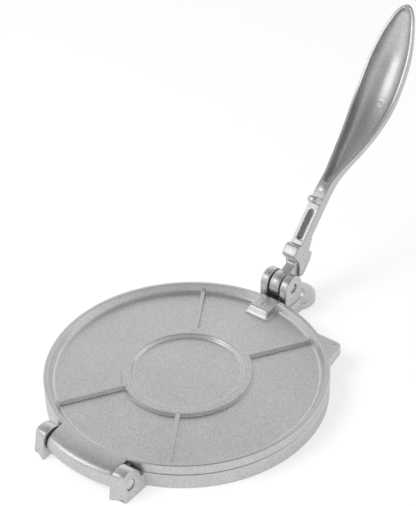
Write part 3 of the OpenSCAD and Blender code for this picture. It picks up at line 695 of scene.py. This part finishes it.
def handleSizes(u, shape):
    gripLength = shape["length"] - shape["armLength"]
    share = (u - shape["armLength"]) / gripLength
    face = shape["armFace"] - shape["gripBow"] * followLaw(bowLaw, share)
    deep = (shape["armDepth"] + (shape["gripDepth"] - shape["armDepth"]) * followLaw(depthLaw, share)) \
        * followLaw(noseLaw, share)
    half = (shape["armWidth"] + (shape["gripWidth"] - shape["armWidth"]) * followLaw(widthLaw, share)) / 2
    half = half * roundStart(shape["length"] - u, shape["tipRadius"])
    return face, deep, half


def insetHalf(u, wall, shape):
    # Half width of the outline one wall further in: every point of the grip's outline
    # moves along its inward normal, (-du, dh) turned, and is read again at u.
    tip, end = shape["tipRadius"], shape["length"]
    along = np.concatenate([np.linspace(shape["armLength"] - 9, end - tip, 400)[:-1],
                            end - tip + tip * np.sin(np.linspace(0, math.pi / 2, 300))])
    half = handleSizes(along, shape)[2]
    run, rise = np.gradient(along), np.gradient(half)
    size = np.hypot(run, rise)
    inAlong = np.maximum.accumulate(along + wall * rise / size)
    inHalf = np.clip(half - wall * run / size, 0, None)
    return np.interp(u, inAlong, inHalf, right=0.0)


def makeGrip(shape):
    place = handlePlace(shape)
    wall, tip, arm = shape["gripWall"], shape["tipRadius"], shape["armLength"]
    pocketEnd = shape["pocketFrom"] + shape["pocketLength"]
    pocketRound = shape["pocketWidth"] / 2
    ease = (1 - np.cos(np.linspace(0, math.pi / 2, 9))) * pocketRound
    stations = np.concatenate([
        [shape["armFrom"]], shape["pocketFrom"] - np.array([3, 1, 0.05]), shape["pocketFrom"] + ease,
        np.linspace(shape["pocketFrom"] + pocketRound, pocketEnd - pocketRound, 14)[1:-1],
        (pocketEnd - ease)[::-1],
        pocketEnd + np.array([0.05, 1, 3]), np.linspace(66, arm, 14),
        arm + 12 * np.linspace(0, 1, 20)[1:] ** 2, np.arange(97, 156, 1.0), np.arange(156, 164, 0.35),
        np.arange(164.2, 209, 1.0), np.arange(209.2, 217, 0.35),
        np.linspace(217.5, shape["length"] - tip, 8)[:-1],
        shape["length"] - tip + tip * np.sin(np.linspace(0, math.pi / 2, 34)[:-1]),
        shape["length"] - wall - (tip - wall) * (1 - np.sin(np.linspace(0.3, math.pi / 2, 20)))])
    stations = np.unique(np.round(stations, 3))
    stations = stations[np.concatenate([[True], np.diff(stations) > 0.008])]
    u = stations[:, None]
    face, deep, half = handleSizes(u, shape)
    edge = np.minimum(shape["edge"], 0.3 * half)
    power = 2 / (5 - 2.7 * roundStart(u - arm, (shape["length"] - arm) / 2))
    # the hollow: the grip's own, and the narrow pocket in the arm
    inPocket = u < 70
    pocketHalf = pocketRound * np.minimum(roundStart(u - shape["pocketFrom"], pocketRound),
                                          roundStart(pocketEnd - u, pocketRound))
    gripHalf = insetHalf(u, wall, shape) * roundStart(u - arm, shape["armWidth"] / 2)
    hollowHalf = np.where(inPocket, np.maximum(pocketHalf, 0.02), np.maximum(gripHalf, 0.02 * half))
    gripDeep = (deep - wall) * roundStart(u - arm, 12) * roundStart(shape["length"] - wall - u, 3)
    within = (u > shape["pocketFrom"] - 0.01) & (u < pocketEnd + 0.01)
    hollowDeep = np.where(inPocket, shape["pocketDepth"] * within, gripDeep)
    hollowPower = np.where(inPocket, 0.3, power)
    lip = np.minimum(0.5 * edge, 0.45 * hollowDeep)
    # one section: back from +y to -y, rounded edge, land, rounded lip, hollow, and back
    a = np.linspace(0, math.pi, 45)[None, :]
    backY = half * np.sign(np.cos(a)) * np.abs(np.cos(a)) ** power
    backS = face - edge - (deep - edge) * np.sin(a) ** power
    q = np.linspace(0, math.pi / 2, 6)[None, 1:]
    edgeY = -(half - edge * (1 - np.cos(q)))
    edgeS = face - edge + edge * np.sin(q)
    lipQ = np.linspace(0, math.pi / 2, 5)[None, :]
    lipY = -(hollowHalf + lip * (1 - np.sin(lipQ)))
    lipS = face - lip + lip * np.cos(lipQ)
    b = np.linspace(0, math.pi, 66)[None, 1:-1]
    hollowY = -hollowHalf * np.sign(np.cos(b)) * np.abs(np.cos(b)) ** hollowPower
    hollowS = face - lip - (hollowDeep - lip) * np.sin(b) ** hollowPower
    for at, aside, size in shape["marks"]:
        away = np.hypot(u - at, hollowY - aside)
        hollowS = hollowS - shape["markDepth"] * np.exp(-((away - size) / 0.45) ** 2)
    y = np.concatenate([backY, edgeY, lipY, hollowY, -lipY[:, ::-1], -edgeY[:, ::-1]], axis=1)
    s = np.concatenate([backS, edgeS, lipS, hollowS, lipS[:, ::-1], edgeS[:, ::-1]], axis=1)
    grip = skinMesh("handleGrip", place(u + 0 * y, y, s), capFirst=True, capLast=True)
    sharpenEdges(grip, 62)
    return finished(grip, "handle", "cast_aluminium", castMetal, "handle")


makeGrip(handleShape)
print("grip made")


# Handle's root: barrel, stem, cam, heel and peg

rootShape = {
    "barrelRadius": 9.6, "barrelHalf": 4.3, "bore": 4.06, "camHalf": 7.3, "edge": 1.3,
    "stem": ((0.5, -8.6), (7, -14.4), (26, -14.4), (42, -8.6), (41, -4.5), (34.6, -3.6), (34.2, 3),
             (19.2, 3.6), (18.4, -2), (9.2, 1.5)),
    "stemRounds": (1, 3, 4, 1.5, 1, 1, 1, 1, 1.5, 0.8),
    "cam": ((13.2, -14.6), (26, -14.6), (32.2, -12.6), (32.2, 3.8), (30.2, 8.2), (20.6, 8.2),
            (19.4, -1.5), (15.4, -6.5), (10.2, -11.2)),
    "camRounds": (2, 5, 3, 2.4, 2.8, 2.8, 3, 2, 1), "camTaper": 1.0, "camLow": -14.6, "camTall": 22.8,
    "heel": ((-4.0, -3.8), (-10.0, -9.66), (-3.75, -16.13), (7, -14.4), (7, -6)),
    "heelRounds": (0.5, 1.2, 1.2, 2, 1), "heelInset": 0.04, "barrelEdge": 0.6,
    "pegAt": 67.8, "pegThick": 5.4, "pegHeight": 8.0, "pegHalf": 5.2, "pegRounds": (2.2, 2.2, 4.4, 4.4),
    "markAt": 78.6, "markRadius": 3.0,
}


def makeRoot(shape, handle):
    place = handlePlace(handle)
    half = shape["barrelHalf"]
    side = lambda a, b, h: place(a, h, b)
    e, rim = shape["barrelEdge"], shape["barrelRadius"]
    barrel = np.array([[shape["bore"], -half], [rim - e, -half], [rim - 0.3 * e, -half + 0.3 * e],
                       [rim, -half + e], [rim, half - e], [rim - 0.3 * e, half - 0.3 * e],
                       [rim - e, half], [shape["bore"], half]])
    pieces = [turnedRing("handleBarrel", barrel, alongY(handle["pivotX"], handle["pivotZ"]))]
    stem = roundedOutline(shape["stem"], shape["stemRounds"])
    pieces.append(roundedSlab("handleStem", stem, -half, half, 1.0, side))
    # the heel stops the handle on the neck; its flanks lie just inside the barrel's
    heel = roundedOutline(shape["heel"], shape["heelRounds"])
    heelHalf = half - shape["heelInset"]
    pieces.append(roundedSlab("handleHeel", heel, -heelHalf, heelHalf, 0.8, side))
    cam = roundedOutline(shape["cam"], shape["camRounds"])
    camHalf = shape["camHalf"]
    # the two flanks lean in towards the nose: aside = h (1 - taper (b - camLow) / camTall / camHalf)
    inward = lambda b: shape["camTaper"] * (b - shape["camLow"]) / shape["camTall"] / camHalf
    lean = lambda a, b, h: place(a, h * (1 - inward(b)), b)
    pieces.append(roundedSlab("handleCam", cam, -camHalf, camHalf, shape["edge"], lean, steps=7))
    pegHalf, tall = shape["pegHalf"], shape["pegHeight"]
    corners = [(-pegHalf, -3), (pegHalf, -3), (pegHalf, tall), (-pegHalf, tall)]
    peg = roundedOutline(corners, shape["pegRounds"], 10)
    low = shape["pegAt"] - shape["pegThick"] / 2
    stand = lambda a, b, h: place(h, a, b + handle["armFace"])
    pieces.append(roundedSlab("handlePeg", peg, low, low + shape["pegThick"], 2.0, stand))
    around = np.linspace(0, 2 * math.pi, 48, endpoint=False)
    disc = shape["markRadius"] * np.stack([np.cos(around), np.sin(around)], axis=1)
    level = handleSizes(np.array([[shape["markAt"]]]), handle)[0].item()
    flat = lambda a, b, h: place(a + shape["markAt"], b, h + level)
    pieces.append(roundedSlab("handleMark", disc, -0.8, 0.5, 0.3, flat, steps=3))
    for piece in pieces:
        finished(piece, "handle", "cast_aluminium", castMetal)


makeRoot(rootShape, handleShape)
print("handle's root made")


# Pins: the turned bars as they are

for nodeName in ("hinge_rod", "handle_pin"):
    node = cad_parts[nodeName]
    node.data.materials.clear()
    node.data.materials.append(pinSteel)


# Floor, light and camera

studio = {
    "floorSize": 6.0, "floorShare": 0.62, "floorGlow": 1.1, "floorGlossDrop": 0.22,
    "skyDiffuse": 0.62, "skyNear": 0.72, "skyFar": 1.22, "skyLow": 1.0, "skyHigh": 0.34,
    "skyHorizon": 0.95, "farWay": (0.92, 0.39, 0.0), "lampAim": (0.0, 0.0, 0.03),
    "keyPower": 13.0, "keySize": 0.8, "keyAt": (-0.9, 0.5, 1.25),
    "glintPower": 1.7, "glintSize": 0.6, "glintAt": (-0.8, 0.65, 0.86),
}


def seenDirectly(nodes, links):
    # 1 for what the camera sees itself, in gloss or through glass; 0 for light on surfaces
    path = nodes.new("ShaderNodeLightPath")
    total = path.outputs["Is Camera Ray"]
    for name in ("Is Glossy Ray", "Is Transmission Ray"):
        total = mathNode(nodes, links, "MAXIMUM", total, path.outputs[name])
    return path, total


def mixNode(nodes, links, share, first, second):
    # first x (1 - share) + second x share
    mix = nodes.new("ShaderNodeMix")
    links.new(share, mix.inputs["Factor"])
    for socket, value in ((mix.inputs["A"], first), (mix.inputs["B"], second)):
        if isinstance(value, (int, float)):
            socket.default_value = value
        else:
            links.new(value, socket)
    return mix.outputs["Result"]


def makeFloor(look):
    size = look["floorSize"] / 2
    mesh = bpy.data.meshes.new("studioFloor")
    corners = [(-size, -size, 0), (size, -size, 0), (size, size, 0), (-size, size, 0)]
    mesh.from_pydata(corners, [], [(0, 1, 2, 3)])
    floor = bpy.data.objects.new("studioFloor", mesh)
    bpy.context.scene.collection.objects.link(floor)
    material, nodes, links = newMaterial("paleFloor")
    output = nodes["Material Output"]
    nodes.remove(nodes["Principled BSDF"])
    matt = nodes.new("ShaderNodeBsdfDiffuse")
    matt.inputs["Color"].default_value = (0.9, 0.9, 0.9, 1)
    glow = nodes.new("ShaderNodeEmission")
    path, seen = seenDirectly(nodes, links)
    drop = mathNode(nodes, links, "MULTIPLY", path.outputs["Is Glossy Ray"], look["floorGlossDrop"])
    links.new(mathNode(nodes, links, "SUBTRACT", look["floorGlow"], drop), glow.inputs["Strength"])
    mix = nodes.new("ShaderNodeMixShader")
    links.new(mathNode(nodes, links, "MULTIPLY", seen, look["floorShare"]), mix.inputs["Fac"])
    links.new(matt.outputs[0], mix.inputs[1])
    links.new(glow.outputs[0], mix.inputs[2])
    links.new(mix.outputs[0], output.inputs["Surface"])
    mesh.materials.append(material)


def makeWorld(look):
    # White where the camera looks. In gloss: near to far brightness by how far a direction
    # points away from the front (its dot product with farWay), times low to high by its
    # height, and white at the horizon. On matt surfaces: a plain soft light.
    world = bpy.data.worlds.new("studioWorld")
    bpy.context.scene.world = world
    world.use_nodes = True
    nodes, links = world.node_tree.nodes, world.node_tree.links
    background = nodes["Background"]
    background.inputs["Color"].default_value = (1, 1, 1, 1)
    way = nodes.new("ShaderNodeTexCoord").outputs["Generated"]
    turned = nodes.new("ShaderNodeVectorMath")
    turned.operation = "DOT_PRODUCT"
    turned.inputs[1].default_value = look["farWay"]
    links.new(way, turned.inputs[0])
    split = nodes.new("ShaderNodeSeparateXYZ")
    links.new(way, split.inputs[0])
    sideways = rangeNode(nodes, links, turned.outputs["Value"], look["skyNear"], look["skyFar"], -0.6, 0.6)
    rise = rangeNode(nodes, links, split.outputs["Z"], look["skyLow"], look["skyHigh"], 0.3, 0.9)
    sky = mathNode(nodes, links, "MULTIPLY", sideways, rise)
    horizon = rangeNode(nodes, links, split.outputs["Z"], 1.0, 0.0, 0.04, 0.3)
    path = nodes.new("ShaderNodeLightPath")
    lowSky = mixNode(nodes, links, horizon, sky, look["skyHorizon"])
    gloss = mixNode(nodes, links, path.outputs["Is Glossy Ray"], look["skyDiffuse"], lowSky)
    direct = mathNode(nodes, links, "MAXIMUM", path.outputs["Is Camera Ray"],
                      path.outputs["Is Transmission Ray"])
    links.new(mixNode(nodes, links, direct, gloss, 1.0), background.inputs["Strength"])


def makeLamp(name, at, power, size, aim, inGloss):
    # A round lamp at a place, turned to face its aim
    lamp = bpy.data.lights.new(name, "AREA")
    lamp.energy = power
    lamp.shape = "DISK"
    lamp.size = size
    holder = bpy.data.objects.new(name, lamp)
    back = np.array(at) - np.array(aim)
    holder.location = at
    holder.rotation_mode = "QUATERNION"
    holder.rotation_quaternion = Vector((-back).tolist()).to_track_quat("-Z", "Y")
    holder.visible_glossy = inGloss
    bpy.context.scene.collection.objects.link(holder)


view = {
    "at": (-0.5486, -0.4716, 0.6204), "azimuth": -50.67, "elevation": 34.85, "roll": -1.46,
    "lens": 114.35, "sensor": 36.0,
}


def makeCamera(look):
    # right, up and back of the camera from its azimuth, elevation and roll
    azimuth, elevation, roll = (math.radians(look[k]) for k in ("azimuth", "elevation", "roll"))
    right = np.array([math.cos(azimuth), math.sin(azimuth), 0.0])
    back = np.array([math.sin(azimuth) * math.cos(elevation), -math.cos(azimuth) * math.cos(elevation),
                     math.sin(elevation)])
    up = np.cross(back, right)
    side = right * math.cos(roll) + up * math.sin(roll)
    rise = -right * math.sin(roll) + up * math.cos(roll)
    camera = bpy.data.cameras.new("studioCamera")
    camera.sensor_fit = "HORIZONTAL"
    camera.sensor_width = look["sensor"]
    camera.lens = look["lens"]
    holder = bpy.data.objects.new("studioCamera", camera)
    turn = np.eye(4)
    turn[:3, 0], turn[:3, 1], turn[:3, 2], turn[:3, 3] = side, rise, back, look["at"]
    holder.matrix_world = Matrix(turn.tolist())
    bpy.context.scene.collection.objects.link(holder)
    bpy.context.scene.camera = holder


makeFloor(studio)
makeWorld(studio)
makeLamp("keyLamp", studio["keyAt"], studio["keyPower"], studio["keySize"], studio["lampAim"], False)
makeLamp("glintLamp", studio["glintAt"], studio["glintPower"], studio["glintSize"], studio["lampAim"], True)
makeCamera(view)
bpy.context.scene.view_settings.view_transform = "Standard"
print("studio ready")
